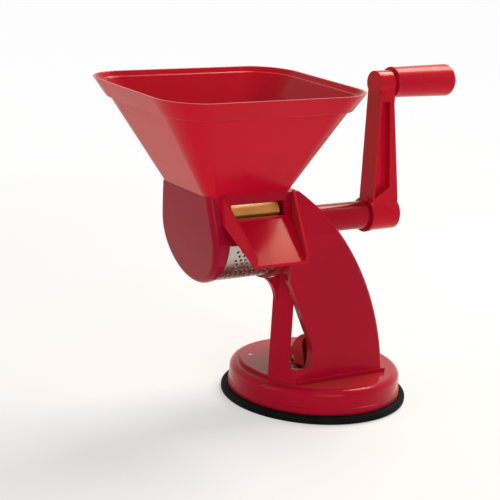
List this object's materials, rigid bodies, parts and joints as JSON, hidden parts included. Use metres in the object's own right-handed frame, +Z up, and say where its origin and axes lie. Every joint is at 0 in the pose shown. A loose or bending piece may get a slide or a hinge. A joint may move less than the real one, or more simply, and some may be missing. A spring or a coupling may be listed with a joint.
{
  "type": "tomato strainer with crank",
  "caption": "Hand cranked tomato strainer: square hopper over a drum with perforated screen, waste chute, curved column on a round suction foot.",
  "frame": {"origin": "centre of the suction cup's underside, on the table", "axes": "+X along the rotor axis towards the crank, +Y to the back, +Z up"},
  "size_m": [0.2755, 0.136, 0.2417],
  "materials": {
    "red_body": "glossy moulded crimson",
    "red_hopper": "glossy moulded crimson",
    "red_cap": "glossy moulded crimson",
    "red_chute": "glossy moulded crimson",
    "red_base": "glossy moulded crimson",
    "red_lever": "satin moulded red",
    "red_crank": "glossy moulded red",
    "red_grip": "glossy moulded red",
    "black_rubber": "matt black rubber",
    "steel_screws": "plain steel",
    "steel_plate": "rolled steel sheet",
    "steel_stud": "turned steel",
    "steel_pin": "drawn steel",
    "steel_shaft": "drawn steel",
    "steel_clip": "spring steel",
    "screen_steel": "punched stainless sheet",
    "white_hub": "moulded white",
    "amber_wipers": "amber moulded, slightly soft",
    "seal_rubber": "black rubber",
    "white_bush": "moulded white",
    "white_washer": "moulded white"
  },
  "bodies": {
    "stand": {"main_body": "red_body", "base_shell": "red_base", "base_screws": "steel_screws", "suction_cup": "black_rubber", "wear_plate": "steel_plate", "shaft_seal": "seal_rubber", "inner_bush": "white_bush", "outer_bush": "white_bush"},
    "rotor": {"drive_shaft": "steel_shaft", "rotor_hub": "white_hub", "wiper_blades": "amber_wipers", "thrust_washer": "white_washer", "crank_arm": "red_crank", "crank_screw": "steel_screws", "handle_pin": "steel_pin", "grip_clip": "steel_clip"},
    "grip": {"handle_grip": "red_grip"},
    "hopper": {"hopper": "red_hopper"},
    "cap": {"end_cap": "red_cap", "cap_bush": "white_bush", "strainer_screen": "screen_steel"},
    "chute": {"waste_chute": "red_chute"},
    "stud": {"pull_stud": "steel_stud", "lever_pin": "steel_pin"},
    "lever": {"suction_lever": "red_lever"}
  },
  "joints": [
    {"name": "crank_spin", "type": "hinge", "parent": "stand", "child": "rotor", "pos_m": [0, 0, 0.133], "axis": [1, 0, 0], "continuous": true},
    {"name": "grip_spin", "type": "hinge", "parent": "rotor", "child": "grip", "pos_m": [0.07, 0, 0.23], "axis": [1, 0, 0], "continuous": true},
    {"name": "hopper_lift", "type": "slide", "parent": "stand", "child": "hopper", "axis": [0, 0, 1], "range_m": [0, 0.08]},
    {"name": "cap_pull", "type": "slide", "parent": "stand", "child": "cap", "axis": [-1, 0, 0], "range_m": [0, 0.07]},
    {"name": "chute_pull", "type": "slide", "parent": "stand", "child": "chute", "axis": [0, -1, 0], "range_m": [0, 0.05]},
    {"name": "stud_lift", "type": "slide", "parent": "stand", "child": "stud", "axis": [0, 0, 1], "range_m": [0, 0.0023]},
    {"name": "lever_tilt", "type": "hinge", "parent": "stud", "child": "lever", "pos_m": [0, 0, 0.029], "axis": [1, 0, 0], "range_deg": [-80, 0]}
  ],
  "couplings": [
    {"joint": "lever_tilt", "follows": "stud_lift", "rad_per_m": -607}
  ]
}
